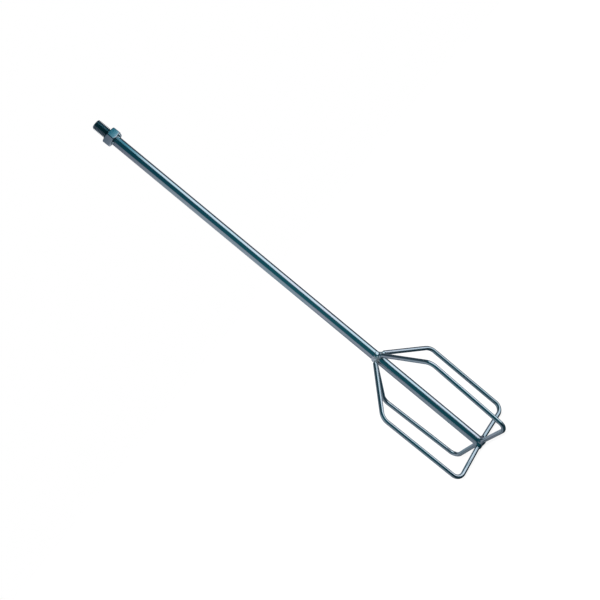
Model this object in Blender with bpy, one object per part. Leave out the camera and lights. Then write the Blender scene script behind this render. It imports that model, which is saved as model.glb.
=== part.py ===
"""Mortar mixing paddle: a threaded steel rod with a welded hex nut and a four-wire mixing basket.

The rod hangs down -Z from its drive end. The origin is on the rod's axis, in the upper face of
the hex nut, which is the shoulder that a mixer's spindle is tightened against. All lengths are
in metres. Touching pieces keep a small clearance, so each one stays a closed body of its own.
"""

import math

import bmesh
import bpy
from mathutils import Matrix, Vector, noise

# Rod with its rolled M14 x 2 stud
ROD_RADIUS = 0.0067
ROD_SIDES = 24
ROD_SPANS = 6
ROD_END_CHAMFER = 0.0006
STUD_TOP = 0.020
THREAD_PITCH = 0.002
THREAD_MAJOR_RADIUS = 0.0070
THREAD_MINOR_RADIUS = 0.00577
THREAD_START = -0.0106
THREAD_RUN_OUT = 0.0010
STUD_CHAMFER_RADIUS = 0.0054
STUD_CHAMFER_LENGTH = 0.0016

# Hex nut, DIN 934 M14
NUT_HEIGHT = 0.011
NUT_ACROSS_FLATS = 0.022
NUT_CORNER_RADIUS = 0.0125
NUT_FACE_RADIUS = 0.0104
NUT_CHAMFER_SLOPE = math.tan(math.radians(30))
NUT_COUNTERSINK_RADIUS = 0.0079
NUT_TURN = math.radians(-7)

# Mixing basket: four bent wires round the rod's lower end
HUB_Z = -0.605
ROD_BOTTOM = HUB_Z - 0.0045
WIRE_RADIUS = 0.003
WIRE_SIDES = 12
WIRE_COUNT = 4
LOWER_BEND_RADIUS = 0.0624
LOWER_BEND_DROP = 0.0016
UPPER_CURVE = 0.016
LOWER_CURVE = 0.011
CURVE_STEPS = 6
WIRE_END_CHAMFER = 0.0005
BASKET_TWIST = math.radians(-2.1)

# Each wire is cut and bent by hand: radius, turn and height of its upper end; radius, turn and
# height of its upper bend; height of its lower leg
WIRE_BENDS = (
    (0.0116, math.radians(2), HUB_Z + 0.1660, 0.0648, 0.0, HUB_Z + 0.1194, HUB_Z - 0.0009),
    (0.0091, math.radians(-2), HUB_Z + 0.1679, 0.0655, 0.0, HUB_Z + 0.1197, HUB_Z + 0.0001),
    (0.0092, math.radians(4), HUB_Z + 0.1678, 0.0655, 0.0, HUB_Z + 0.1212, HUB_Z - 0.0010),
    (0.0091, 0.0, HUB_Z + 0.1678, 0.0646, math.radians(-0.5), HUB_Z + 0.1218, HUB_Z - 0.0004),
)

# Weld metal
CLEARANCE = 0.0003
WELD_ROUGHNESS = 0.0004
UPPER_WELD_SIZE = (0.0040, 0.0046, 0.0056)
LOWER_WELD_SIZE = (0.0048, 0.0050, 0.0050)
NUT_BEAD_SIZE = (0.0036, 0.0065, 0.0042)
NUT_BEAD_DIRECTION = math.radians(-25)
NUT_BEAD_DEPTH = 0.0010
NUT_DROP_SIZE = (0.0016, 0.0016, 0.0016)
NUT_DROP_DIRECTION = math.radians(-160)
NUT_DROP_DEPTH = 0.0013

# Finish of each family of pieces: colour, roughness, metallic
FINISHES = {
    "zinc_rod": ((0.55, 0.64, 0.68, 1.0), 0.22, 1.0),
    "zinc_nut": ((0.45, 0.55, 0.60, 1.0), 0.28, 1.0),
    "zinc_wire": ((0.52, 0.60, 0.65, 1.0), 0.25, 1.0),
    "zinc_weld": ((0.42, 0.50, 0.55, 1.0), 0.40, 1.0),
}


def clear_scene():
    """Removes every object of the open scene."""
    for obj in list(bpy.data.objects):
        bpy.data.objects.remove(obj, do_unlink=True)


def finish(name):
    """The named metal finish, made the first time it is asked for."""
    material = bpy.data.materials.get(name)
    if material is None:
        colour, roughness, metallic = FINISHES[name]
        material = bpy.data.materials.new(name)
        material.use_nodes = True
        shader = material.node_tree.nodes["Principled BSDF"]
        shader.inputs["Base Color"].default_value = colour
        shader.inputs["Roughness"].default_value = roughness
        shader.inputs["Metallic"].default_value = metallic
        material.diffuse_color = colour
    return material


def make_object(name, bm, finish_name, sharp_degrees=35):
    """Turns a bmesh into a smooth-shaded object with outward faces."""
    bmesh.ops.recalc_face_normals(bm, faces=bm.faces)
    mesh = bpy.data.meshes.new(name)
    bm.to_mesh(mesh)
    bm.free()
    mesh.shade_smooth()
    mesh.set_sharp_from_angle(angle=math.radians(sharp_degrees))
    mesh.materials.append(finish(finish_name))
    obj = bpy.data.objects.new(name, mesh)
    bpy.context.scene.collection.objects.link(obj)
    return obj


def polar(radius, angle, z):
    """A point at a radius and angle round the rod's axis."""
    return Vector((radius * math.cos(angle), radius * math.sin(angle), z))


def add_ring(bm, radius, z, sides):
    """A level ring of vertices round the rod's axis."""
    return [bm.verts.new(polar(radius, math.tau * k / sides, z)) for k in range(sides)]


def bridge(bm, lower, upper):
    """Faces between two rings with the same number of vertices."""
    sides = len(lower)
    for k in range(sides):
        n = (k + 1) % sides
        bm.faces.new((lower[k], lower[n], upper[n], upper[k]))


def thread_radius(turns):
    """Radius of the stud's thread after a number of pitches along the axis: root, flank, crest."""
    phase = turns % 1.0
    root, flank, crest = 0.25, 0.3125, 0.125
    depth = THREAD_MAJOR_RADIUS - THREAD_MINOR_RADIUS
    if phase < root:
        share = 0.0
    elif phase < root + flank:
        share = (phase - root) / flank
    elif phase < root + flank + crest:
        share = 1.0
    else:
        share = (1.0 - phase) / flank
    return THREAD_MINOR_RADIUS + depth * share


def helical_wall(bm, low_ring, high_ring, low_z, high_z, radius_at, start_z):
    """Joins two level rings by a wall whose rows climb one pitch a turn, so that ridges stay crisp.

    radius_at(z, turns) gives the wall's radius. Rows that would pass an end join its ring.
    """
    sides = len(low_ring)
    row_turns = (0.0, 0.25, 0.5625, 0.6875)
    first = math.floor((low_z - start_z) / THREAD_PITCH) - 1
    last = math.ceil((high_z - start_z) / THREAD_PITCH) + 1
    near = 0.06 * THREAD_PITCH
    columns = []
    for k in range(sides + 1):
        column = []
        angle = math.tau * k / sides
        for turn in range(first - k // sides, last + 1 - k // sides):
            for part in row_turns:
                z = start_z + THREAD_PITCH * (turn + part + k / sides)
                if z <= low_z + near:
                    column.append(low_ring[k % sides])
                elif z >= high_z - near:
                    column.append(high_ring[k % sides])
                elif k < sides:
                    column.append(bm.verts.new(polar(radius_at(z, turn + part), angle, z)))
                else:
                    column.append(None)
        columns.append(column)
    for row, vert in enumerate(columns[sides]):
        if vert is None:
            columns[sides][row] = columns[0][row]
    for left, right in zip(columns, columns[1:]):
        for row in range(len(left) - 1):
            corners = [left[row], right[row], right[row + 1], left[row + 1]]
            loop = [v for i, v in enumerate(corners) if v is not corners[i - 1]]
            if len(loop) > 2:
                bm.faces.new(loop)


def stud_radius(z, turns):
    """Radius of the rod's thread, faded out at its lower end and chamfered at its top."""
    fade = min(1.0, max(0.0, (z - THREAD_START) / THREAD_RUN_OUT))
    radius = ROD_RADIUS + (thread_radius(turns) - ROD_RADIUS) * fade
    slope = (THREAD_MAJOR_RADIUS - STUD_CHAMFER_RADIUS) / STUD_CHAMFER_LENGTH
    return min(radius, STUD_CHAMFER_RADIUS + slope * (STUD_TOP - z))


def nut_bore_radius(z, turns):
    """Radius of the nut's thread: the stud's, plus the clearance, countersunk at both faces."""
    depth = min(-z, z + NUT_HEIGHT)
    return max(thread_radius(turns) + CLEARANCE, NUT_COUNTERSINK_RADIUS - depth)


def make_rod():
    """The solid rod, chamfered at its lower end, with the stud's thread rolled into its top."""
    bm = bmesh.new()
    rings = [
        add_ring(bm, ROD_RADIUS - ROD_END_CHAMFER, ROD_BOTTOM, ROD_SIDES),
        add_ring(bm, ROD_RADIUS, ROD_BOTTOM + ROD_END_CHAMFER, ROD_SIDES),
    ]
    plain_from = ROD_BOTTOM + ROD_END_CHAMFER
    for span in range(1, ROD_SPANS + 1):
        z = plain_from + (THREAD_START - plain_from) * span / ROD_SPANS
        rings.append(add_ring(bm, ROD_RADIUS, z, ROD_SIDES))
    for lower, upper in zip(rings, rings[1:]):
        bridge(bm, lower, upper)
    top = add_ring(bm, STUD_CHAMFER_RADIUS, STUD_TOP, ROD_SIDES)
    helical_wall(bm, rings[-1], top, THREAD_START, STUD_TOP, stud_radius, 0.0)
    bm.faces.new(reversed(rings[0]))
    bm.faces.new(top)
    return make_object("threaded_rod", bm, "zinc_rod")


def hex_radius(angle):
    """Distance from the axis to the nut's six-sided outline, its corners trimmed."""
    from_flat = (angle - NUT_TURN) % (math.pi / 3) - math.pi / 6
    return min(NUT_ACROSS_FLATS / 2 / math.cos(from_flat), NUT_CORNER_RADIUS)


def make_nut():
    """The hex nut: both faces chamfered at 30 degrees, with a threaded bore."""
    bm = bmesh.new()
    outline = []
    for side in range(6):
        for step in range(4):
            outline.append(NUT_TURN + math.pi / 3 * (side + step / 4))
    drop = [(hex_radius(a) - NUT_FACE_RADIUS) * NUT_CHAMFER_SLOPE for a in outline]
    face_top = [bm.verts.new(polar(NUT_FACE_RADIUS, a, 0.0)) for a in outline]
    edge_top = [bm.verts.new(polar(hex_radius(a), a, -d)) for a, d in zip(outline, drop)]
    edge_low = [
        bm.verts.new(polar(hex_radius(a), a, d - NUT_HEIGHT)) for a, d in zip(outline, drop)
    ]
    face_low = [bm.verts.new(polar(NUT_FACE_RADIUS, a, -NUT_HEIGHT)) for a in outline]
    bore_top = add_ring(bm, NUT_COUNTERSINK_RADIUS, 0.0, ROD_SIDES)
    bore_low = add_ring(bm, NUT_COUNTERSINK_RADIUS, -NUT_HEIGHT, ROD_SIDES)
    for lower, upper in ((edge_top, face_top), (edge_low, edge_top), (face_low, edge_low)):
        bridge(bm, lower, upper)
    bridge(bm, face_top, bore_top)
    bridge(bm, bore_low, face_low)
    helical_wall(bm, bore_low, bore_top, -NUT_HEIGHT, 0.0, nut_bore_radius, 0.0)
    return make_object("hex_nut", bm, "zinc_nut", 20)


def rounded_corner(before, corner, after, curve_radius):
    """Points along an arc that replaces a corner between two straight lines."""
    to_before = (before - corner).normalized()
    to_after = (after - corner).normalized()
    half = to_before.angle(to_after) / 2
    setback = curve_radius / math.tan(half)
    centre = corner + (to_before + to_after).normalized() * (curve_radius / math.sin(half))
    start = corner + to_before * setback
    turn_axis = (start - centre).cross(corner + to_after * setback - centre).normalized()
    sweep = math.pi - 2 * half
    points = []
    for step in range(CURVE_STEPS + 1):
        spin = Matrix.Rotation(sweep * step / CURVE_STEPS, 3, turn_axis)
        points.append(centre + spin @ (start - centre))
    return points


def wire_angle(index):
    """Direction of a basket wire round the rod."""
    return math.tau * index / WIRE_COUNT


def wire_path(index, inner_end, upper_extension=0.0):
    """Centreline of one basket wire, from its blunt upper end to its end at the rod's foot."""
    end_radius, end_turn, end_z, bend_radius, bend_turn, bend_z, leg_z = WIRE_BENDS[index]
    angle = wire_angle(index)
    low_angle = angle + BASKET_TWIST
    upper_end = polar(end_radius, angle + end_turn, end_z)
    upper_bend = polar(bend_radius, angle + bend_turn, bend_z)
    lower_bend = polar(LOWER_BEND_RADIUS, low_angle, leg_z - LOWER_BEND_DROP)
    leg_slope = LOWER_BEND_DROP / LOWER_BEND_RADIUS
    lower_end = polar(inner_end, low_angle, leg_z - leg_slope * inner_end)
    upper_end += (upper_end - upper_bend).normalized() * upper_extension
    points = [upper_end]
    points += rounded_corner(upper_end, upper_bend, lower_bend, UPPER_CURVE)
    points += rounded_corner(upper_bend, lower_bend, lower_end, LOWER_CURVE)
    points.append(lower_end)
    return points


def sweep_round(bm, points, radius, end_chamfer):
    """A round bar along a line of points, with its two end faces closed and chamfered."""
    tangents = []
    for i, point in enumerate(points):
        ahead = points[min(i + 1, len(points) - 1)] - point
        behind = point - points[max(i - 1, 0)]
        tangents.append((ahead.normalized() + behind.normalized()).normalized())
    stations = [(points[0], radius - end_chamfer)]
    stations.append((points[0] + tangents[0] * end_chamfer, radius))
    stations += [(p, radius) for p in points[1:-1]]
    stations.append((points[-1] - tangents[-1] * end_chamfer, radius))
    stations.append((points[-1], radius - end_chamfer))
    directions = [tangents[0]] + tangents + [tangents[-1]]
    side = tangents[0].orthogonal().normalized()
    rings = []
    for (point, ring_radius), direction in zip(stations, directions):
        side = (side - direction * side.dot(direction)).normalized()
        across = direction.cross(side)
        ring = []
        for k in range(WIRE_SIDES):
            angle = math.tau * k / WIRE_SIDES
            offset = side * math.cos(angle) + across * math.sin(angle)
            ring.append(bm.verts.new(point + offset * ring_radius))
        rings.append(ring)
    for lower, upper in zip(rings, rings[1:]):
        bridge(bm, lower, upper)
    bm.faces.new(reversed(rings[0]))
    bm.faces.new(rings[-1])


def make_wire(index):
    """One bent wire of the basket."""
    bm = bmesh.new()
    path = wire_path(index, ROD_RADIUS + CLEARANCE)
    sweep_round(bm, path, WIRE_RADIUS, WIRE_END_CHAMFER)
    return make_object(f"basket_wire_{index + 1}", bm, "zinc_wire")


def make_cutter(name, bm):
    """A hidden solid that keeps weld metal off the piece that it lies on."""
    cutter = make_object(name, bm, "zinc_weld")
    cutter.hide_render = True
    cutter.display_type = "WIRE"
    return cutter


def make_rod_cutter():
    """The rod's outline, grown by the clearance."""
    bm = bmesh.new()
    low = add_ring(bm, ROD_RADIUS + CLEARANCE, ROD_BOTTOM - ROD_RADIUS, ROD_SIDES)
    high = add_ring(bm, ROD_RADIUS + CLEARANCE, NUT_HEIGHT, ROD_SIDES)
    bridge(bm, low, high)
    bm.faces.new(reversed(low))
    bm.faces.new(high)
    return make_cutter("rod_clearance", bm)


def make_wire_cutter(index):
    """A wire's outline, grown by the clearance at its side and both ends."""
    bm = bmesh.new()
    path = wire_path(index, ROD_RADIUS - CLEARANCE, CLEARANCE)
    sweep_round(bm, path, WIRE_RADIUS + CLEARANCE, WIRE_END_CHAMFER)
    return make_cutter(f"wire_clearance_{index + 1}", bm)


def make_weld(name, centre, turn, size, cutters):
    """A lump of weld metal: an uneven ball, cut back from the pieces that it joins."""
    bm = bmesh.new()
    bmesh.ops.create_icosphere(bm, subdivisions=2, radius=1.0)
    for vert in bm.verts:
        direction = vert.co.normalized()
        local = Vector(a * b for a, b in zip(direction, size))
        local += direction * (WELD_ROUGHNESS * noise.noise(local * 400 + centre * 900))
        vert.co = Matrix.Rotation(turn, 3, "Z") @ local + centre
    weld = make_object(name, bm, "zinc_weld", 60)
    for cutter in cutters:
        cut = weld.modifiers.new(cutter.name, "BOOLEAN")
        cut.operation = "DIFFERENCE"
        cut.solver = "EXACT"
        cut.object = cutter
    return weld


def make_basket_welds(rod_cutter):
    """The upper and the lower weld of each basket wire."""
    for index, (end_radius, end_turn, end_z, _, _, _, leg_z) in enumerate(WIRE_BENDS):
        cutters = (rod_cutter, make_wire_cutter(index))
        angle = wire_angle(index) + end_turn
        upper = polar((end_radius + ROD_RADIUS) / 2, angle, end_z)
        make_weld(f"upper_weld_{index + 1}", upper, angle, UPPER_WELD_SIZE, cutters)
        low_angle = wire_angle(index) + BASKET_TWIST
        lower = polar(ROD_RADIUS + WIRE_RADIUS / 3, low_angle, leg_z)
        make_weld(f"lower_weld_{index + 1}", lower, low_angle, LOWER_WELD_SIZE, cutters)


def make_nut_welds(rod_cutter):
    """The bead in the corner between the nut's lower face and the rod, and the drop beside it."""
    bm = bmesh.new()
    low = add_ring(bm, NUT_ACROSS_FLATS, -NUT_HEIGHT - CLEARANCE, ROD_SIDES)
    high = add_ring(bm, NUT_ACROSS_FLATS, NUT_HEIGHT, ROD_SIDES)
    bridge(bm, low, high)
    bm.faces.new(reversed(low))
    bm.faces.new(high)
    cutters = (rod_cutter, make_cutter("nut_clearance", bm))
    bead = polar(ROD_RADIUS + CLEARANCE, NUT_BEAD_DIRECTION, -NUT_HEIGHT - NUT_BEAD_DEPTH)
    make_weld("nut_weld_bead", bead, NUT_BEAD_DIRECTION, NUT_BEAD_SIZE, cutters)
    drop = polar(ROD_RADIUS + NUT_DROP_DEPTH, NUT_DROP_DIRECTION, -NUT_HEIGHT - NUT_DROP_DEPTH)
    make_weld("nut_weld_drop", drop, NUT_DROP_DIRECTION, NUT_DROP_SIZE, cutters)


def main():
    clear_scene()
    make_rod()
    make_nut()
    for index in range(WIRE_COUNT):
        make_wire(index)
    rod_cutter = make_rod_cutter()
    make_basket_welds(rod_cutter)
    make_nut_welds(rod_cutter)


main()
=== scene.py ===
"""Looks of the mortar mixing paddle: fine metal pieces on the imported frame, and a small studio.

Lengths are in metres. The origin is on the rod's axis in the nut's upper face, +Z to the drive end.
"""

import math

import bmesh
import bpy
import numpy as np
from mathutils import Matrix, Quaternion, Vector, noise


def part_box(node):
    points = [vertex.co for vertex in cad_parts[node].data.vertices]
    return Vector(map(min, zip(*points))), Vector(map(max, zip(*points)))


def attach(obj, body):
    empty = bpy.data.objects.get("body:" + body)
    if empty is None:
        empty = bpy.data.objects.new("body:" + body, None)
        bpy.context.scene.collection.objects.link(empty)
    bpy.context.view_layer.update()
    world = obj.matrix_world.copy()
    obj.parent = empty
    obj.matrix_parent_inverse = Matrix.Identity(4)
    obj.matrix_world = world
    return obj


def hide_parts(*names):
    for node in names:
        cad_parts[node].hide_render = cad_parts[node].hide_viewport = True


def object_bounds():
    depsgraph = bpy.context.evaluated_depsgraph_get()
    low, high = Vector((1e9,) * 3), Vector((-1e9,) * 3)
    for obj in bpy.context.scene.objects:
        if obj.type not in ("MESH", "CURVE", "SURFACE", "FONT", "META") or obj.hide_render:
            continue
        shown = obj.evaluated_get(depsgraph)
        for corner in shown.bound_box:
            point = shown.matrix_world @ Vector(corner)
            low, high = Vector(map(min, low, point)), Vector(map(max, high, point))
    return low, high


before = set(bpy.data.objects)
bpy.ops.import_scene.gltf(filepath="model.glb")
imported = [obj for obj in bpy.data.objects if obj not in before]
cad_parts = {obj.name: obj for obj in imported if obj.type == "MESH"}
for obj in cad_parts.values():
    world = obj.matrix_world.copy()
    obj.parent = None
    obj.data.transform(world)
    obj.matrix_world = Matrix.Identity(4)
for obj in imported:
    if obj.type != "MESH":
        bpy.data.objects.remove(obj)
CAD_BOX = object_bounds()
BODY = "root"

# Places that come from the frame
ROD_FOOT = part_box("threaded_rod")[0].z
STUD_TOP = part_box("threaded_rod")[1].z
NUT_HEIGHT = -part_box("hex_nut")[0].z

# Rod with its rolled stud
ROD_RADIUS = 0.0067
ROD_SIDES = 96
ROD_STEP = 0.006
FOOT_ROUNDING = 0.0006
THREAD_PITCH = 0.002
THREAD_MAJOR_RADIUS = 0.0070
THREAD_MINOR_RADIUS = 0.00577
THREAD_START = -0.0106
THREAD_RUN_OUT = 0.0010
THREAD_ROWS = 16
STUD_CHAMFER_RADIUS = 0.0054
STUD_CHAMFER_LENGTH = 0.0016

# Hex nut
NUT_ACROSS_FLATS = 0.022
NUT_CORNER_RADIUS = 0.0125
NUT_FACE_RADIUS = 0.0104
NUT_CHAMFER_SLOPE = math.tan(math.radians(30))
NUT_COUNTERSINK_RADIUS = 0.0079
NUT_TURN = math.radians(-7)
NUT_STEPS = 24
# Width of the rounded edge between a chamfer and a flat
NUT_EDGE = 0.00042
NUT_EDGE_STEPS = 6
NUT_THREAD_PLAY = 0.00005

# Basket
HUB_Z = ROD_FOOT + 0.0045
WIRE_RADIUS = 0.003
WIRE_SIDES = 40
WIRE_STEP = 0.003
WIRE_COUNT = 4
LOWER_BEND_RADIUS = 0.0624
LOWER_BEND_DROP = 0.0016
UPPER_CURVE = 0.016
LOWER_CURVE = 0.011
CURVE_STEPS = 28
WIRE_END_ROUNDING = 0.0008
WIRE_END_STEPS = 6
WIRE_HEAT_REACH = 0.018
BASKET_TWIST = math.radians(-2.1)
UPPER_WELD_Z = HUB_Z + 0.170

# A wire's bends: how much flatter and wider it is there, how far the zinc is rubbed, and how many
# times the change is smoothed along the wire
WIRE_FLATTENING = 0.035
WIRE_WIDENING = 0.014
WIRE_BEND_WEAR = 0.25
WIRE_BEND_SMOOTHING = 4

# Height of each weld on the rod, and how far along the rod its heat reached
HEATED_PLACES = ((HUB_Z, 0.014), (UPPER_WELD_Z, 0.016), (-NUT_HEIGHT, 0.012))

# Each wire is cut and bent by hand: radius, turn and height of its upper end; radius, turn and
# height of its upper bend; height of its lower leg
WIRE_BENDS = (
    (0.0116, math.radians(2), HUB_Z + 0.1660, 0.0648, 0.0, HUB_Z + 0.1194, HUB_Z - 0.0009),
    (0.0091, math.radians(-2), HUB_Z + 0.1679, 0.0655, 0.0, HUB_Z + 0.1197, HUB_Z + 0.0001),
    (0.0092, math.radians(4), HUB_Z + 0.1678, 0.0655, 0.0, HUB_Z + 0.1212, HUB_Z - 0.0010),
    (0.0091, 0.0, HUB_Z + 0.1678, 0.0646, math.radians(-0.5), HUB_Z + 0.1218, HUB_Z - 0.0004),
)

# How far each wire's whole colour is darkened as painted shade
WIRE_SHADE = (0.36, 0.10, 0.0, 0.0)

# Upper weld of each wire: where its middle lies round the rod, counted from the wire, half its width
# round the rod, its thickness and half its height there, how far its middle lies above the wire's
# end, the radius of the metal that reaches the end, how softly it runs into the wire, and how far
# the weld's heat dulled it
UPPER_WELDS = (
    (0.0, math.radians(55), 0.0018, 0.0026, 0.0030, 0.0025, 0.0006, 0.4),
    (0.0, math.radians(40), 0.0018, 0.0026, 0.0024, 0.0026, 0.0012, 0.5),
    (0.0, math.radians(56), 0.0017, 0.0027, 0.0026, 0.0018, 0.0004, 0.65),
    (math.radians(-22), math.radians(34), 0.0009, 0.0034, 0.0040, 0.0025, 0.0030, 0.0),
)

# Upper welds: width over which their lumps and the rod run into each other, the depth and fineness
# of their unevenness, and half the size of the round bound of each, beside the wire and along the
# rod
UPPER_FILLET = 0.0016
UPPER_LUMPS = ((0.00024, 260), (0.00007, 1000))
UPPER_REACH = (0.0092, 0.0080)

# Lower welds: width of the fillet between the rod and a leg, the depth and fineness of their
# unevenness, half the size of the round bound of each, the ripple round the leg and how often it
# comes in a turn, the lowest metal, and how far their colour is darkened as painted shade
LOWER_FILLET = 0.0042
LOWER_LUMPS = ((0.00022, 260), (0.00005, 900))
LOWER_REACH = (0.0062, 0.0090, 0.0092)
LEG_RIPPLE = 0.00002
LEG_RIPPLES = 24
LOWEST_WELD_Z = ROD_FOOT - 0.0008
LOWER_WELD_SHADE = 0.4

# Nut's bead: its middle and half its length round the rod, its path's radius and height, its
# thickness, its ripple and how often that comes in a turn, its unevenness, and half the size of its
# round bound
BEAD_TURN = math.radians(-8)
BEAD_HALF_TURN = math.radians(40)
BEAD_RADIUS = 0.0077
BEAD_Z = -NUT_HEIGHT - 0.0009
BEAD_SWELL = 0.0024
BEAD_RIPPLE = 0.00008
BEAD_RIPPLES = 26
BEAD_LUMPS = ((0.00025, 380),)
BEAD_REACH = (0.0088, 0.0108, 0.0056)

# Drop beside the bead: its place, its unevenness, and half the size of its round bound
DROP_TURN = math.radians(-164)
DROP_PLACE = (0.0080, 0.0, -NUT_HEIGHT - 0.0010)
DROP_RADIUS = 0.0015
DROP_LUMPS = ((0.00006, 700),)
DROP_REACH = (0.0024, 0.0024, 0.0024)

# Welds' skins: subdivisions of the ball that is shrunk on them, steps of the search outwards from
# the centre, halvings after it, and how deep the outer edge sinks over which shares of the bound
SKIN_DETAIL = 5
SKIN_STEPS = 48
SKIN_HALVINGS = 14
SKIN_SINK = 0.0009
SKIN_SINK_FROM, SKIN_SINK_TO = 0.66, 0.95

# Zinc film: its three tones, the tones of what lies on it, and the tones of painted shade
STEEL_BLUE = (0.66, 0.76, 0.81)
TEAL = (0.56, 0.73, 0.78)
LILAC = (0.74, 0.76, 0.82)
SPOT_TONE = (0.50, 0.56, 0.60, 1.0)
STREAK_TONE = (0.50, 0.60, 0.66, 1.0)
HEAT_TONE = (0.46, 0.52, 0.56, 1.0)
WORN_TONE = (0.72, 0.82, 0.86, 1.0)
PIECE_SHADE_TONE = (0.36, 0.44, 0.48, 1.0)
CORNER_SHADE_TONE = (0.020, 0.050, 0.060, 1.0)

# Fineness of the film's patterns, across and along a bar, and depth of the marks in the surface
CLOUD_SCALE = (60, 60, 24)
DRAWN_SCALE = (1500, 1500, 14)
PIT_SCALE = (2600, 2600, 2600)
SPOT_SCALE = (420, 420, 300)
MARK_DEPTH = 0.00006

# Finishes: roughness, strength of the drawing marks, strength of the pitting, width of the corners
# that are darkened with painted shade, and share of the shine lost to heat
FINISHES = {
    "zinc_rod": (0.13, 0.7, 0.15, 0.007, 0.0),
    "zinc_nut": (0.15, 0.1, 0.25, 0.006, 0.0),
    "zinc_wire": (0.09, 0.4, 0.15, 0.007, 0.0),
    "zinc_weld": (0.17, 0.0, 0.5, 0.003, 0.25),
}

# Camera
CAMERA_AZIMUTH = math.radians(-124.88)
CAMERA_DISTANCE = 1.4545
CAMERA_HEIGHT = -0.2356
CAMERA_AIM = Vector((-0.0055, 0.0037, -0.3145))
CAMERA_ROLL = math.radians(-50.36)
CAMERA_LENS = 69.72
SENSOR_WIDTH = 36.0

# Reflection tent: its size, its mesh, and its cards' glow at heights from the lowest to the highest
TENT_RADIUS = 0.55
TENT_LOW = -1.45
TENT_HIGH = 0.62
TENT_COLUMNS = 240
TENT_ROWS = 240
ROOM_GLOW = (
    (-1.10, (0.003, 0.022, 0.030)),
    (-0.760, (0.003, 0.024, 0.033)),
    (-0.742, (0.0085, 0.066, 0.088)),
    (-0.65, (0.0085, 0.070, 0.092)),
    (-0.32, (0.0120, 0.098, 0.124)),
    (-0.05, (0.0075, 0.064, 0.090)),
    (0.06, (0.0035, 0.048, 0.070)),
    (0.16, (0.0035, 0.048, 0.055)),
)
FILL_GLOW = (
    (-1.00, (0.15, 0.17, 0.20)),
    (-0.65, (0.25, 0.27, 0.31)),
    (-0.35, (0.33, 0.36, 0.41)),
    (-0.05, (0.31, 0.33, 0.37)),
    (0.06, (0.165, 0.185, 0.225)),
    (0.16, (0.12, 0.14, 0.18)),
    (0.30, (0.156, 0.19, 0.228)),
)
# The softbox's unlit ends
DIM_GLOW = (
    (-0.80, (0.20, 0.25, 0.29)),
    (-0.20, (0.040, 0.30, 0.39)),
    (0.05, (0.030, 0.28, 0.37)),
    (0.12, (0.015, 0.135, 0.19)),
)
SOFTBOX_GLOW = np.array((0.93, 0.99, 1.07))
BACK_GLOW = np.array((0.36, 0.38, 0.42))
FLAG_GLOW = np.array((0.06, 0.07, 0.09))
ROOF_GLOW = np.array((0.030, 0.055, 0.070))
GROUND_GLOW = np.array((0.015, 0.040, 0.055))

# Cards' edges: turns from the camera in degrees, and heights in metres
FILL_EDGES = (-172, -45)
FILL_NOTCH = (-130, -104)
FILL_NOTCH_HEIGHTS = (-0.62, -0.36)
FILL_NOTCH_DEPTH = 0.36
SOFTBOX_EDGE_HEIGHTS = (-0.70, -0.58, -0.35, -0.05)
SOFTBOX_NEAR_EDGES = (48, 46, 40, 44)
SOFTBOX_FAR_EDGE = 92
SOFTBOX_HEIGHTS = (-0.80, 0.022)
BACK_FROM = 148
ROOF_FROM = (0.18, 0.34)
FULL_ROOF_FROM = (0.48, 0.60)
GROUND_BELOW = (0.98, 1.14)

# Floor and light
FLOOR_HALF_SIZE = 12.0
FLOOR_GLOW = 5.4
FLOOR_TONES = ((0.3, (0.155, 0.155, 0.155)), (0.7, (0.165, 0.165, 0.165)))
OVERHEAD_SIZE = 3.0
OVERHEAD_ENERGY = 25.0
OVERHEAD_HEIGHT = 2.2


# ---------------------------------------------------------------- mesh tools

def polar(radius, angle, z):
    """A point at a radius and angle round the rod's axis."""
    return Vector((radius * math.cos(angle), radius * math.sin(angle), z))


def smoothstep(low, high, value):
    """0 below low, 1 above high, and a smooth rise between; takes numbers or arrays."""
    share = np.clip((value - low) / (high - low), 0.0, 1.0)
    return share * share * (3 - 2 * share)


class Shape:
    """Vertices and faces of one piece, with each vertex's place on the straight bar it came from.

    grain holds that place, so that drawing marks follow a bent wire, and wear and heat are shares
    from 0 to 1 for rubbed edges and for metal near a weld. A share given for the whole piece
    darkens all of it as painted shade.
    """

    def __init__(self, tarnish=0.0):
        self.tarnish = tarnish
        self.verts, self.faces, self.grain, self.wear, self.heat = [], [], [], [], []

    def add(self, point, grain=None, wear=0.0, heat=0.0):
        self.verts.append(tuple(point))
        self.grain.append(tuple(point if grain is None else grain))
        self.wear.append(wear)
        self.heat.append(heat)
        return len(self.verts) - 1

    def bridge(self, lower, upper):
        """Faces between two rings with the same number of vertices."""
        for k, corner in enumerate(lower):
            n = (k + 1) % len(lower)
            self.faces.append((corner, lower[n], upper[n], upper[k]))

    def piece(self, name, node, material, sharp_degrees=30):
        """Makes the mesh object, shaded smooth, riding on the frame in place of a CAD node."""
        mesh = bpy.data.meshes.new(name)
        mesh.from_pydata(self.verts, [], self.faces)
        bm = bmesh.new()
        bm.from_mesh(mesh)
        bmesh.ops.recalc_face_normals(bm, faces=bm.faces)
        bm.to_mesh(mesh)
        bm.free()
        mesh.shade_smooth()
        mesh.set_sharp_from_angle(angle=math.radians(sharp_degrees))
        grain = mesh.attributes.new("grain", "FLOAT_VECTOR", "POINT")
        grain.data.foreach_set("vector", np.array(self.grain, np.float32).ravel())
        tarnish = [self.tarnish] * len(self.verts)
        for label, values in (("wear", self.wear), ("weld_heat", self.heat), ("tarnish", tarnish)):
            layer = mesh.attributes.new(label, "FLOAT", "POINT")
            layer.data.foreach_set("value", np.array(values, np.float32))
        mesh.materials.append(material)
        obj = bpy.data.objects.new(name, mesh)
        bpy.context.scene.collection.objects.link(obj)
        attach(obj, BODY)
        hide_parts(node)
        return obj


def ring_round_axis(shape, radius, z, sides, wear=0.0, heat=0.0):
    """A level ring of vertices round the rod's axis."""
    return [
        shape.add(polar(radius, math.tau * k / sides, z), wear=wear, heat=heat)
        for k in range(sides)
    ]


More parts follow.
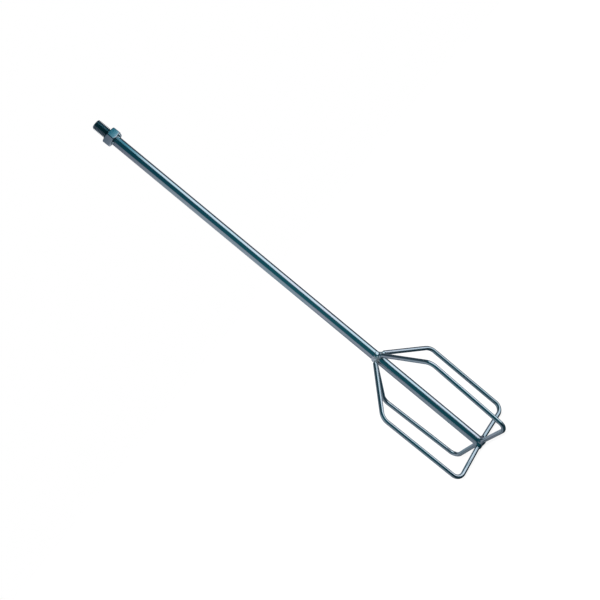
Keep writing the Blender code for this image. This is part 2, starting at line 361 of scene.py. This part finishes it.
def helical_wall(shape, low_ring, high_ring, low_z, high_z, radius_at):
    """Joins two level rings by a wall whose rows climb one pitch a turn, so that ridges stay crisp.

    radius_at(z, turns) gives the wall's radius. Rows that would pass an end join its ring.
    """
    sides = len(low_ring)
    first = math.floor(low_z / THREAD_PITCH) - 1
    last = math.ceil(high_z / THREAD_PITCH) + 1
    near = 0.02 * THREAD_PITCH
    columns = []
    for k in range(sides + 1):
        column = []
        angle = math.tau * k / sides
        start = first - k // sides
        for row in range((last + 1 - first) * THREAD_ROWS):
            part = row % THREAD_ROWS / THREAD_ROWS
            turns = start + row // THREAD_ROWS + part
            z = THREAD_PITCH * (turns + k / sides)
            if z <= low_z + near:
                column.append(low_ring[k % sides])
            elif z >= high_z - near:
                column.append(high_ring[k % sides])
            elif k < sides:
                crest = thread_share(part)
                column.append(shape.add(polar(radius_at(z, turns), angle, z), wear=crest ** 4))
            else:
                column.append(None)
        columns.append(column)
    for row, vert in enumerate(columns[sides]):
        if vert is None:
            columns[sides][row] = columns[0][row]
    for left, right in zip(columns, columns[1:]):
        for row in range(len(left) - 1):
            corners = [left[row], right[row], right[row + 1], left[row + 1]]
            loop = [v for i, v in enumerate(corners) if v != corners[i - 1]]
            if len(loop) > 2:
                shape.faces.append(tuple(loop))


def thread_share(turns):
    """Height of the thread, 0 at the root and 1 at the crest, after a number of pitches."""
    from_crest = abs((turns % 1.0) - 0.5)
    crest_half, root_from = 1 / 16, 3 / 8
    share = min(1.0, max(0.0, (root_from - from_crest) / (root_from - crest_half)))
    rounded = share * share * (3 - 2 * share)
    return 0.55 * share + 0.45 * rounded


def thread_radius(turns):
    """Radius of the stud's thread after a number of pitches along the axis."""
    depth = THREAD_MAJOR_RADIUS - THREAD_MINOR_RADIUS
    return THREAD_MINOR_RADIUS + depth * thread_share(turns)


# ---------------------------------------------------------------- materials

def add_node(tree, kind, settings=None, inputs=None):
    """A shader node with its settings and input values or links."""
    made = tree.nodes.new(kind)
    for key, value in (settings or {}).items():
        setattr(made, key, value)
    for key, value in (inputs or {}).items():
        if isinstance(value, bpy.types.NodeSocket):
            tree.links.new(value, made.inputs[key])
        else:
            made.inputs[key].default_value = value
    return made


def math_node(tree, operation, *values):
    """The output of a Math node."""
    made = add_node(tree, "ShaderNodeMath", {"operation": operation}, dict(enumerate(values)))
    return made.outputs[0]


def remap(tree, value, low, high, to_low, to_high):
    """The value, stretched from one range to another and held inside it."""
    inputs = {1: low, 2: high, 3: to_low, 4: to_high, 0: value}
    return add_node(tree, "ShaderNodeMapRange", {"clamp": True}, inputs).outputs[0]


def scaled_noise(tree, vector, scale, detail, roughness=0.5):
    """Noise over a vector that is first stretched by a scale on each axis."""
    stretched = add_node(
        tree, "ShaderNodeMapping", {"vector_type": "POINT"}, {"Vector": vector, "Scale": scale}
    )
    inputs = {
        "Vector": stretched.outputs[0], "Scale": 1.0, "Detail": detail, "Roughness": roughness
    }
    return add_node(tree, "ShaderNodeTexNoise", None, inputs).outputs["Fac"]


def ramp(tree, value, stops):
    """A colour ramp through (position, colour) stops."""
    made = add_node(tree, "ShaderNodeValToRGB", None, {"Fac": value})
    elements = made.color_ramp.elements
    while len(elements) < len(stops):
        elements.new(0.5)
    for element, (position, colour) in zip(elements, stops):
        element.position = position
        element.color = (*colour, 1.0)
    return made.outputs[0]


def mix_colour(tree, share, first, second, blend="MIX"):
    """A blend of two colours."""
    made = add_node(tree, "ShaderNodeMix", {"data_type": "RGBA", "blend_type": blend})
    for socket, value in ((0, share), (6, first), (7, second)):
        if isinstance(value, bpy.types.NodeSocket):
            tree.links.new(value, made.inputs[socket])
        else:
            made.inputs[socket].default_value = value
    return made.outputs[2]


def attribute(tree, name, output="Fac"):
    """The output of a mesh attribute."""
    return add_node(tree, "ShaderNodeAttribute", {"attribute_name": name}).outputs[output]


def zinc_plating(name, polish, streaks, grit, shade_reach, dulling):
    """Bright blue-passivated zinc over steel.

    polish is the roughness, streaks the strength of the lengthwise drawing marks and grit that
    of the fine pitting. Corners narrower than the given reach are darkened with painted shade, and
    dulling is how much of the shine is lost where the metal was hottest.
    """
    material = bpy.data.materials.new(name)
    material.use_nodes = True
    tree = material.node_tree
    shader = tree.nodes["Principled BSDF"]
    grain = attribute(tree, "grain", "Vector")
    wear = attribute(tree, "wear")
    heat = attribute(tree, "weld_heat")
    tarnish = attribute(tree, "tarnish")

    cloud = scaled_noise(tree, grain, CLOUD_SCALE, 4, 0.55)
    drawn = scaled_noise(tree, grain, DRAWN_SCALE, 3, 0.6)
    pits = scaled_noise(tree, grain, PIT_SCALE, 3, 0.6)
    spots = scaled_noise(tree, grain, SPOT_SCALE, 2)

    film = ramp(tree, cloud, ((0.34, TEAL), (0.52, STEEL_BLUE), (0.68, LILAC)))
    spot_share = remap(tree, spots, 0.60, 0.74, 0.0, 0.30)
    film = mix_colour(tree, spot_share, film, SPOT_TONE)
    streak_share = remap(tree, drawn, 0.35, 0.70, 0.0, 0.16)
    film = mix_colour(tree, streak_share, film, STREAK_TONE)
    film = mix_colour(tree, math_node(tree, "MULTIPLY", heat, 0.15), film, HEAT_TONE)
    film = mix_colour(tree, math_node(tree, "MULTIPLY", wear, 0.35), film, WORN_TONE)
    # Painted shade: a whole piece's colour is darkened by its given share
    film = mix_colour(tree, tarnish, film, PIECE_SHADE_TONE, "MULTIPLY")
    # Painted shade: colour darkened towards a near-black teal in the corners that ambient occlusion
    # finds
    corner = add_node(
        tree, "ShaderNodeAmbientOcclusion", {"samples": 8}, {"Distance": shade_reach}
    ).outputs["AO"]
    corner_shade = remap(tree, corner, 0.30, 0.85, 0.80, 0.0)
    film = mix_colour(tree, corner_shade, film, CORNER_SHADE_TONE)
    tree.links.new(film, shader.inputs["Base Color"])
    shine = math_node(tree, "SUBTRACT", 1.0, math_node(tree, "MULTIPLY", heat, dulling))
    tree.links.new(shine, shader.inputs["Metallic"])

    rough = remap(tree, drawn, 0.3, 0.7, polish - 0.03, polish + 0.05)
    rough = math_node(tree, "ADD", rough, remap(tree, cloud, 0.35, 0.7, -0.01, 0.05))
    rough = math_node(tree, "ADD", rough, math_node(tree, "MULTIPLY", heat, 0.05))
    rough = math_node(tree, "SUBTRACT", rough, math_node(tree, "MULTIPLY", wear, 0.04))
    tree.links.new(rough, shader.inputs["Roughness"])

    height = math_node(tree, "MULTIPLY", drawn, streaks)
    height = math_node(tree, "ADD", height, math_node(tree, "MULTIPLY", pits, grit))
    bump = add_node(
        tree, "ShaderNodeBump", None, {"Strength": 0.35, "Distance": MARK_DEPTH, "Height": height}
    )
    tree.links.new(bump.outputs[0], shader.inputs["Normal"])
    return material


# ---------------------------------------------------------------- rod and nut

def heat_at(z):
    """How near a height on the rod is to a weld, 0 to 1."""
    return max(0.0, *(1.0 - abs(z - centre) / reach for centre, reach in HEATED_PLACES))


def stud_radius(z, turns):
    """Radius of the rod's thread, faded out at its lower end and chamfered at its top."""
    fade = min(1.0, max(0.0, (z - THREAD_START) / THREAD_RUN_OUT))
    radius = ROD_RADIUS + (thread_radius(turns) - ROD_RADIUS) * fade
    slope = (THREAD_MAJOR_RADIUS - STUD_CHAMFER_RADIUS) / STUD_CHAMFER_LENGTH
    return min(radius, STUD_CHAMFER_RADIUS + slope * (STUD_TOP - z))


def end_face(shape, edge_ring, radius, z, sides, dish):
    """Closes a bar's end with rings that sink a little towards its middle."""
    previous = edge_ring
    for share in (0.9, 0.6, 0.3):
        sunk = z - dish * (1 - share)
        ring = ring_round_axis(shape, radius * share, sunk, sides)
        shape.bridge(previous, ring)
        previous = ring
    middle = shape.add((0, 0, z - dish))
    for k in range(sides):
        shape.faces.append((previous[k], previous[(k + 1) % sides], middle))


def make_rod(material):
    """The solid rod with its rounded foot and the thread rolled into its top."""
    shape = Shape()
    rings = []
    for step in range(5):
        turn = math.pi / 2 * step / 4
        radius = ROD_RADIUS - FOOT_ROUNDING * (1 - math.sin(turn))
        z = ROD_FOOT + FOOT_ROUNDING * (1 - math.cos(turn))
        rings.append(ring_round_axis(shape, radius, z, ROD_SIDES, wear=0.4, heat=1.0))
    plain_from = ROD_FOOT + FOOT_ROUNDING
    spans = round((THREAD_START - plain_from) / ROD_STEP)
    for span in range(1, spans + 1):
        z = plain_from + (THREAD_START - plain_from) * span / spans
        rings.append(ring_round_axis(shape, ROD_RADIUS, z, ROD_SIDES, heat=heat_at(z)))
    for lower, upper in zip(rings, rings[1:]):
        shape.bridge(lower, upper)
    top = ring_round_axis(shape, STUD_CHAMFER_RADIUS, STUD_TOP, ROD_SIDES, wear=0.6)
    helical_wall(shape, rings[-1], top, THREAD_START, STUD_TOP, stud_radius)
    foot_radius = ROD_RADIUS - FOOT_ROUNDING
    end_face(shape, rings[0], foot_radius, ROD_FOOT, ROD_SIDES, 0.0)
    end_face(shape, top, STUD_CHAMFER_RADIUS, STUD_TOP, ROD_SIDES, 0.0002)
    return shape.piece("threaded_rod_fine", "threaded_rod", material)


def hex_radius(angle):
    """Distance from the axis to the nut's six-sided outline, its corners trimmed."""
    from_flat = (angle - NUT_TURN) % (math.pi / 3) - math.pi / 6
    return min(NUT_ACROSS_FLATS / 2 / math.cos(from_flat), NUT_CORNER_RADIUS)


def nut_bore_radius(z, turns):
    """Radius of the nut's thread, countersunk at both faces."""
    depth = min(-z, z + NUT_HEIGHT)
    return max(thread_radius(turns) + NUT_THREAD_PLAY, NUT_COUNTERSINK_RADIUS - depth)


def nut_profile(angle):
    """Radius and depth of points from the nut's upper face over its chamfer's rounded edge."""
    radius = hex_radius(angle)
    drop = (radius - NUT_FACE_RADIUS) * NUT_CHAMFER_SLOPE
    slope = math.atan(NUT_CHAMFER_SLOPE)
    start = (radius - NUT_EDGE * math.cos(slope), drop - NUT_EDGE * math.sin(slope))
    points = [(NUT_FACE_RADIUS, 0.0)]
    for step in range(NUT_EDGE_STEPS + 1):
        t = step / NUT_EDGE_STEPS
        to_start, to_corner, to_end = (1 - t) ** 2, 2 * t * (1 - t), t ** 2
        r = start[0] * to_start + radius * (to_corner + to_end)
        z = start[1] * to_start + drop * to_corner + (drop + NUT_EDGE) * to_end
        points.append((r, z))
    return points


def make_nut(material):
    """The hex nut: both faces chamfered at 30 degrees, edges rounded, with a threaded bore."""
    shape = Shape()
    outline = [
        NUT_TURN + math.pi / 3 * (side + step / NUT_STEPS)
        for side in range(6)
        for step in range(NUT_STEPS)
    ]
    profiles = [nut_profile(a) for a in outline]
    levels = range(len(profiles[0]))
    upper = [[polar(p[n][0], a, -p[n][1]) for a, p in zip(outline, profiles)] for n in levels]
    lower = [
        [polar(p[n][0], a, p[n][1] - NUT_HEIGHT) for a, p in zip(outline, profiles)]
        for n in reversed(levels)
    ]
    ids = [[shape.add(point) for point in ring] for ring in upper + lower]
    for first, second in zip(ids, ids[1:]):
        shape.bridge(first, second)
    sides = len(outline)
    bore_top = ring_round_axis(shape, NUT_COUNTERSINK_RADIUS, 0.0, sides)
    bore_low = ring_round_axis(shape, NUT_COUNTERSINK_RADIUS, -NUT_HEIGHT, sides)
    shape.bridge(ids[0], bore_top)
    shape.bridge(bore_low, ids[-1])
    helical_wall(shape, bore_low, bore_top, -NUT_HEIGHT, 0.0, nut_bore_radius)
    return shape.piece("hex_nut_fine", "hex_nut", material, 22)


# ---------------------------------------------------------------- basket wires

def rounded_corner(before, corner, after, curve_radius):
    """Points along an arc that replaces a corner between two straight lines."""
    to_before = (before - corner).normalized()
    to_after = (after - corner).normalized()
    half = to_before.angle(to_after) / 2
    setback = curve_radius / math.tan(half)
    centre = corner + (to_before + to_after).normalized() * (curve_radius / math.sin(half))
    start = corner + to_before * setback
    turn_axis = (start - centre).cross(corner + to_after * setback - centre).normalized()
    sweep = math.pi - 2 * half
    points = []
    for step in range(CURVE_STEPS + 1):
        spin = Quaternion(turn_axis, sweep * step / CURVE_STEPS)
        points.append(centre + spin @ (start - centre))
    return points


def wire_angle(index):
    """Direction of a basket wire round the rod."""
    return math.tau * index / WIRE_COUNT


def wire_path(index):
    """Centreline of one basket wire, from its blunt upper end to its end at the rod's foot."""
    end_radius, end_turn, end_z, bend_radius, bend_turn, bend_z, leg_z = WIRE_BENDS[index]
    angle = wire_angle(index)
    low_angle = angle + BASKET_TWIST
    upper_end = polar(end_radius, angle + end_turn, end_z)
    upper_bend = polar(bend_radius, angle + bend_turn, bend_z)
    lower_bend = polar(LOWER_BEND_RADIUS, low_angle, leg_z - LOWER_BEND_DROP)
    leg_slope = LOWER_BEND_DROP / LOWER_BEND_RADIUS
    lower_end = polar(ROD_RADIUS, low_angle, leg_z - leg_slope * ROD_RADIUS)
    upper_arc = rounded_corner(upper_end, upper_bend, lower_bend, UPPER_CURVE)
    lower_arc = rounded_corner(upper_bend, lower_bend, lower_end, LOWER_CURVE)
    points = [upper_end]
    for target in (upper_arc, lower_arc, [lower_end]):
        start = points[-1]
        reach = (target[0] - start).length
        steps = max(1, round(reach / WIRE_STEP))
        points += [start.lerp(target[0], step / steps) for step in range(1, steps + 1)]
        points += target[1:]
    return points


def bend_share(points, index):
    """How strongly the wire bends at one of its points, 0 to 1."""
    if index in (0, len(points) - 1):
        return 0.0
    before = (points[index] - points[index - 1]).normalized()
    after = (points[index + 1] - points[index]).normalized()
    return 1.0 if before.angle(after) > math.radians(0.5) else 0.0


def make_wire(index, material):
    """One bent wire: round bar, slightly flattened where it was bent, with rounded ends."""
    angle = wire_angle(index)
    points = wire_path(index)
    bends = np.array([bend_share(points, i) for i in range(len(points))])
    for _ in range(WIRE_BEND_SMOOTHING):
        bends[1:-1] = (bends[:-2] + 2 * bends[1:-1] + bends[2:]) / 4
    stations = []
    along = 0.0
    for i, point in enumerate(points):
        ahead = points[min(i + 1, len(points) - 1)] - point
        behind = point - points[max(i - 1, 0)]
        along += behind.length
        direction = (ahead.normalized() + behind.normalized()).normalized()
        stations.append((point, direction, along, WIRE_RADIUS, bends[i]))
    ends = []
    for step in range(1, WIRE_END_STEPS):
        turn = math.pi / 2 * step / WIRE_END_STEPS
        inset = WIRE_END_ROUNDING * (1 - math.sin(turn))
        radius = WIRE_RADIUS - WIRE_END_ROUNDING * (1 - math.cos(turn))
        ends.append((inset, radius))
    first, last = stations[0], stations[-1]
    head = [(first[0] + first[1] * d, first[1], d, r, 0.0) for d, r in reversed(ends)]
    tail = [(last[0] - last[1] * d, last[1], last[2] - d, r, 0.0) for d, r in ends]
    flat = WIRE_RADIUS - WIRE_END_ROUNDING
    head = [(first[0], first[1], 0.0, flat * share, 0.0) for share in (0.4, 0.8, 1.0)] + head
    tail += [(last[0], last[1], last[2], flat * share, 0.0) for share in (1.0, 0.8, 0.4)]
    inside = [s for s in stations if WIRE_END_ROUNDING * 1.2 < s[2] < last[2] - 0.001]
    # The wire's whole colour is darkened by its share of painted shade
    shape = Shape(WIRE_SHADE[index])
    side = polar(1.0, angle + math.pi / 2, 0.0)
    rings = []
    offset = Vector((0.31 * (index + 1), 0.17 * index, 0.53 * index))
    for point, direction, distance, radius, bent in head + inside + tail:
        side = (side - direction * side.dot(direction)).normalized()
        across = direction.cross(side)
        near_end = min(distance, last[2] - distance)
        heat = max(0.0, 1.0 - near_end / WIRE_HEAT_REACH)
        ring = []
        for k in range(WIRE_SIDES):
            turn = math.tau * k / WIRE_SIDES
            wide = radius * (1 + WIRE_WIDENING * bent) * math.cos(turn)
            tall = radius * (1 - WIRE_FLATTENING * bent) * math.sin(turn)
            grain = Vector((radius * math.cos(turn), radius * math.sin(turn), distance)) + offset
            place = point + side * wide + across * tall
            ring.append(shape.add(place, grain, WIRE_BEND_WEAR * bent, heat))
        rings.append(ring)
    for lower, upper in zip(rings, rings[1:]):
        shape.bridge(lower, upper)
    shape.faces.append(tuple(reversed(rings[0])))
    shape.faces.append(tuple(rings[-1]))
    node = f"basket_wire_{index + 1}"
    return shape.piece(f"{node}_fine", node, material, 45)


# ---------------------------------------------------------------- welds

def smooth_min(first, second, blend):
    """The smaller of two distances, rounded over a blend width where they meet."""
    share = np.clip(0.5 + 0.5 * (second - first) / blend, 0.0, 1.0)
    return second + (first - second) * share - blend * share * (1 - share)


def wobble(points, scale, seed):
    """Smooth noise at each point, about -1 to 1."""
    shift = Vector((seed * 3.7, seed * 1.3, seed * 2.9))
    return np.array([noise.noise(Vector(p) * scale + shift) for p in points])


def uneven(metal, points, lumps, seed):
    """A distance made uneven by noise of each depth and fineness."""
    for depth, scale in lumps:
        metal = metal + depth * wobble(points, scale, seed)
    return metal


def ball(points, centre, radius):
    """Distance to a ball."""
    return np.linalg.norm(points - np.array(centre), axis=1) - radius


def bar(points, start, direction, radius):
    """Distance to a round bar that runs on from its start face."""
    direction = np.array(direction) / np.linalg.norm(direction)
    offset = points - np.array(start)
    along = offset @ direction
    out = np.linalg.norm(offset - np.outer(along, direction), axis=1) - radius
    return np.maximum(out, -along)


def capsule(points, start, end, radius):
    """Distance to a round-ended bar between two points."""
    start, run = np.array(start), np.array(end) - np.array(start)
    share = np.clip((points - start) @ run / (run @ run), 0.0, 1.0)
    return np.linalg.norm(points - start - np.outer(share, run), axis=1) - radius


def rod_distance(points):
    """Distance to the rod's side and foot, with the rod's axis as Z."""
    side = np.linalg.norm(points[:, :2], axis=1) - ROD_RADIUS
    return np.maximum(side, ROD_FOOT - points[:, 2])


def cast_metal(distance, centre, reach):
    """Closed surface of a lump of weld metal, sampled outwards from a centre inside it.

    distance(points) is below 0 in the joined metal. reach is half the size of the egg-shaped bound
    that the lump ends in. Near the bound its skin sinks under the pieces that it lies on.
    """
    bm = bmesh.new()
    bmesh.ops.create_icosphere(bm, subdivisions=SKIN_DETAIL, radius=1.0)
    rays = np.array([v.co for v in bm.verts])
    faces = [tuple(v.index for v in f.verts) for f in bm.faces]
    bm.free()
    centre = np.array(centre)
    reach = np.array(reach)

    def field(points):
        bound = np.linalg.norm((points - centre) / reach, axis=1)
        sunk = SKIN_SINK * smoothstep(SKIN_SINK_FROM, SKIN_SINK_TO, bound)
        edge = (bound - 1.0) * reach.min()
        return np.maximum(distance(points) + sunk, edge)

    low = np.zeros(len(rays))
    high = np.full(len(rays), float(reach.max()) * 1.02)
    inside = np.ones(len(rays), bool)
    for step in range(1, SKIN_STEPS + 1):
        t = high.max() * step / SKIN_STEPS
        out = field(centre + rays * t) > 0
        high[inside & out] = t
        low[inside & ~out] = t
        inside &= ~out
    for _ in range(SKIN_HALVINGS):
        middle = (low + high) / 2
        out = field(centre + rays * middle[:, None]) > 0
        high = np.where(out, middle, high)
        low = np.where(out, low, middle)
    return centre + rays * ((low + high) / 2)[:, None], faces


def turned(points, angle):
    """Points turned round the rod's axis."""
    c, s = math.cos(angle), math.sin(angle)
    x, y = points[:, 0], points[:, 1]
    return np.stack([x * c - y * s, x * s + y * c, points[:, 2]], axis=1)


def weld_piece(node, angle, skin, material, heat=0.0, tarnish=0.0):
    """A weld's mesh, turned to its place round the rod, dulled by its heat, with painted shade."""
    points, faces = skin
    shape = Shape(tarnish)
    for point in turned(points, angle):
        shape.add(point, heat=heat)
    shape.faces = faces
    return shape.piece(f"{node}_fine", node, material, 70)


def make_upper_weld(index, material):
    """A lump of weld metal laid on the rod above a wire's blunt upper end and run out to it."""
    end_radius, end_turn, end_z, bend_radius, _, bend_z, _ = WIRE_BENDS[index]
    side_turn, half_turn, thickness, tall, lift, neck, soft, heat = UPPER_WELDS[index]
    seed = index + 1
    wire_start = (end_radius, 0.0, end_z)
    wire_way = (bend_radius - end_radius, 0.0, bend_z - end_z)
    neck_from = polar(ROD_RADIUS - 0.0018, side_turn, end_z + 0.7 * lift)
    neck_to = (end_radius - 0.0006, 0.0, end_z + 0.0002)

    def distance(points):
        out = np.linalg.norm(points[:, :2], axis=1) - ROD_RADIUS
        turn = np.arctan2(points[:, 1], points[:, 0]) - side_turn
        beyond = np.maximum(np.abs(turn) - half_turn, 0.0) * ROD_RADIUS
        rise = (points[:, 2] - end_z - lift) * thickness / tall
        pad = np.sqrt(out ** 2 + rise ** 2 + beyond ** 2) - thickness
        metal = smooth_min(pad, capsule(points, neck_from, neck_to, neck), UPPER_FILLET)
        metal = uneven(metal, points, UPPER_LUMPS, seed)
        wire = bar(points, wire_start, wire_way, WIRE_RADIUS)
        return smooth_min(smooth_min(metal, rod_distance(points), UPPER_FILLET), wire, soft)

    centre = (0.0058, 0.0, end_z + 0.6 * lift)
    skin = cast_metal(distance, centre, (end_radius - 0.0020, *UPPER_REACH))
    angle = wire_angle(index) + end_turn
    return weld_piece(f"upper_weld_{index + 1}", angle, skin, material, heat)


def make_lower_weld(index, material):
    """A low fillet all round a wire's lower leg, where it meets the rod's foot."""
    seed = index + 11
    leg_z = WIRE_BENDS[index][6]
    leg_way = (LOWER_BEND_RADIUS, 0.0, -LOWER_BEND_DROP)
    leg_start = (ROD_RADIUS - 0.001, 0.0, leg_z)

    def distance(points):
        leg = bar(points, leg_start, leg_way, WIRE_RADIUS)
        turn = np.arctan2(points[:, 1], points[:, 2] - leg_z)
        metal = smooth_min(rod_distance(points), leg, LOWER_FILLET)
        metal = metal + LEG_RIPPLE * np.sin(turn * LEG_RIPPLES + seed)
        metal = uneven(metal, points, LOWER_LUMPS, seed)
        return np.maximum(metal, LOWEST_WELD_Z - points[:, 2])

    skin = cast_metal(distance, (0.0070, 0.0, leg_z), LOWER_REACH)
    node = f"lower_weld_{index + 1}"
    angle = wire_angle(index) + BASKET_TWIST
    # The lower welds' colour is darkened as painted shade
    return weld_piece(node, angle, skin, material, tarnish=LOWER_WELD_SHADE)


def nut_face_distance(points):
    """Distance to the nut's lower face, as a round plate above it."""
    side = np.linalg.norm(points[:, :2], axis=1) - NUT_FACE_RADIUS
    return np.maximum(side, -NUT_HEIGHT - points[:, 2])


def make_nut_bead(material):
    """The bead that locks the nut: a fillet a quarter of the way round, in the corner under it."""
    def distance(points):
        turn = np.arctan2(points[:, 1], points[:, 0])
        outside = np.maximum(np.abs(turn) - BEAD_HALF_TURN, 0.0) * BEAD_RADIUS
        swell = BEAD_SWELL + BEAD_RIPPLE * np.sin(turn * BEAD_RIPPLES)
        ring = np.hypot(np.linalg.norm(points[:, :2], axis=1) - BEAD_RADIUS, points[:, 2] - BEAD_Z)
        metal = np.hypot(ring, outside) - swell
        metal = uneven(metal, points, BEAD_LUMPS, 21)
        base = smooth_min(rod_distance(points), nut_face_distance(points), 0.0003)
        return smooth_min(metal, base, 0.0012)

    centre = (0.0045, 0.0, -NUT_HEIGHT - 0.0008)
    skin = cast_metal(distance, centre, BEAD_REACH)
    return weld_piece("nut_weld_bead", BEAD_TURN, skin, material)


def make_nut_drop(material):
    """The round drop of weld metal beside the bead's end."""
    def distance(points):
        metal = uneven(ball(points, DROP_PLACE, DROP_RADIUS), points, DROP_LUMPS, 31)
        base = smooth_min(rod_distance(points), nut_face_distance(points), 0.0002)
        return smooth_min(metal, base, 0.0004)

    skin = cast_metal(distance, DROP_PLACE, DROP_REACH)
    return weld_piece("nut_weld_drop", DROP_TURN, skin, material)


# ---------------------------------------------------------------- studio

def add_camera():
    """The camera, level with the middle of the rod and rolled so that the rod lies aslant."""
    data = bpy.data.cameras.new("camera")
    data.sensor_width = SENSOR_WIDTH
    data.lens = CAMERA_LENS
    data.clip_start = 0.05
    data.clip_end = 60.0
    camera = bpy.data.objects.new("camera", data)
    bpy.context.scene.collection.objects.link(camera)
    camera.location = polar(CAMERA_DISTANCE, CAMERA_AZIMUTH, CAMERA_HEIGHT)
    towards = CAMERA_AIM - camera.location
    camera.rotation_mode = "QUATERNION"
    roll = Quaternion((0, 0, 1), CAMERA_ROLL)
    camera.rotation_quaternion = towards.to_track_quat("-Z", "Y") @ roll
    bpy.context.scene.camera = camera


def band(value, low, high, soft):
    """1 between low and high, falling to 0 over a soft edge on both sides."""
    rise = smoothstep(low - soft, low + soft, value)
    return rise * (1 - smoothstep(high - soft, high + soft, value))


def by_height(height, stops):
    """Colours between (height, colour) stops, from the lowest to the highest."""
    levels = [level for level, _ in stops]
    channels = [np.interp(height, levels, [c[i] for _, c in stops]) for i in range(3)]
    return np.stack(channels, axis=-1)


def lay_over(glow, card, share):
    """Glow with a card laid over it, which covers it by a share from 0 to 1."""
    return glow + (card - glow) * share[..., None]


def studio_glow(turn, height):
    """Light that the studio's cards send to the metal: turn in degrees from the camera, height in m."""
    notch = band(turn, *FILL_NOTCH, 6) * band(height, *FILL_NOTCH_HEIGHTS, 0.06)
    fill = by_height(height, FILL_GLOW) * (1 - FILL_NOTCH_DEPTH * notch[..., None])
    near_edge = np.interp(height, SOFTBOX_EDGE_HEIGHTS, SOFTBOX_NEAR_EDGES)
    left = band(turn, *FILL_EDGES, 5)
    right = band(turn, near_edge, SOFTBOX_FAR_EDGE, 4)
    glow = lay_over(by_height(height, ROOM_GLOW), fill, left)
    glow = lay_over(glow, BACK_GLOW, 1 - band(turn, -170, BACK_FROM, 8))
    glow = lay_over(glow, FLAG_GLOW, band(turn, SOFTBOX_FAR_EDGE, BACK_FROM, 6))
    glow = lay_over(glow, by_height(height, DIM_GLOW), right)
    glow = lay_over(glow, SOFTBOX_GLOW, right * band(height, *SOFTBOX_HEIGHTS, 0.02))
    roof = smoothstep(*ROOF_FROM, height) * (1 - 0.9 * left)
    roof = np.maximum(roof, smoothstep(*FULL_ROOF_FROM, height))
    glow = lay_over(glow, ROOF_GLOW, roof)
    return lay_over(glow, GROUND_GLOW, smoothstep(*GROUND_BELOW, -height))


def add_reflection_tent():
    """A round tent of cards about the object, seen only in the metal's reflections."""
    shape = Shape()
    rings = []
    for row in range(TENT_ROWS + 1):
        z = TENT_LOW + (TENT_HIGH - TENT_LOW) * row / TENT_ROWS
        rings.append(ring_round_axis(shape, TENT_RADIUS, z, TENT_COLUMNS))
    for lower, upper in zip(rings, rings[1:]):
        shape.bridge(lower, upper)
    shape.faces += [tuple(rings[0]), tuple(rings[-1])]
    mesh = bpy.data.meshes.new("reflection_tent")
    mesh.from_pydata(shape.verts, [], shape.faces)
    verts = np.array(shape.verts)
    turn = np.degrees(np.arctan2(verts[:, 1], verts[:, 0]) - CAMERA_AZIMUTH)
    turn = (turn + 180) % 360 - 180
    colours = np.ones((len(verts), 4))
    colours[:, :3] = studio_glow(turn, verts[:, 2])
    layer = mesh.color_attributes.new("glow", "FLOAT_COLOR", "POINT")
    layer.data.foreach_set("color", colours.ravel())
    material = bpy.data.materials.new("reflection_tent")
    material.use_nodes = True
    tree = material.node_tree
    tree.nodes.clear()
    glow = attribute(tree, "glow", "Color")
    light = add_node(tree, "ShaderNodeEmission", None, {"Color": glow, "Strength": 1.0})
    add_node(tree, "ShaderNodeOutputMaterial", None, {"Surface": light.outputs[0]})
    mesh.materials.append(material)
    tent = bpy.data.objects.new("reflection_tent", mesh)
    bpy.context.scene.collection.objects.link(tent)
    tent.visible_camera = False
    tent.visible_diffuse = False
    tent.visible_shadow = False
    tent.visible_transmission = False


def add_floor():
    """A wide, plain, almost white light table at the paddle's lowest point."""
    size = FLOOR_HALF_SIZE
    low = CAD_BOX[0].z
    mesh = bpy.data.meshes.new("floor")
    corners = [(-size, -size, low), (size, -size, low), (size, size, low), (-size, size, low)]
    mesh.from_pydata(corners, [], [(0, 1, 2, 3)])
    material = bpy.data.materials.new("floor")
    material.use_nodes = True
    tree = material.node_tree
    shader = tree.nodes["Principled BSDF"]
    place = add_node(tree, "ShaderNodeTexCoord").outputs["Object"]
    tone = scaled_noise(tree, place, (3, 3, 3), 3)
    shade = ramp(tree, tone, FLOOR_TONES)
    tree.links.new(shade, shader.inputs["Base Color"])
    tree.links.new(shade, shader.inputs["Emission Color"])
    shader.inputs["Emission Strength"].default_value = FLOOR_GLOW
    shader.inputs["Roughness"].default_value = 0.9
    shader.inputs["Specular IOR Level"].default_value = 0.1
    mesh.materials.append(material)
    floor = bpy.data.objects.new("floor", mesh)
    bpy.context.scene.collection.objects.link(floor)
    floor.visible_glossy = False


def add_light():
    """An even white room, and one wide soft light above the floor."""
    scene = bpy.context.scene
    world = bpy.data.worlds.new("white_room")
    world.use_nodes = True
    backdrop = world.node_tree.nodes["Background"]
    backdrop.inputs["Color"].default_value = (1.0, 1.0, 1.0, 1.0)
    backdrop.inputs["Strength"].default_value = 1.0
    scene.world = world
    data = bpy.data.lights.new("overhead", "AREA")
    data.shape = "DISK"
    data.size = OVERHEAD_SIZE
    data.energy = OVERHEAD_ENERGY
    light = bpy.data.objects.new("overhead", data)
    light.location = (0.0, 0.0, OVERHEAD_HEIGHT)
    light.visible_glossy = False
    light.visible_camera = False
    scene.collection.objects.link(light)
    scene.view_settings.view_transform = "Standard"


def main():
    materials = {name: zinc_plating(name, *finish) for name, finish in FINISHES.items()}
    make_rod(materials["zinc_rod"])
    make_nut(materials["zinc_nut"])
    for index in range(WIRE_COUNT):
        make_wire(index, materials["zinc_wire"])
        make_upper_weld(index, materials["zinc_weld"])
        make_lower_weld(index, materials["zinc_weld"])
    make_nut_bead(materials["zinc_weld"])
    make_nut_drop(materials["zinc_weld"])
    add_camera()
    add_reflection_tent()
    add_floor()
    add_light()


main()
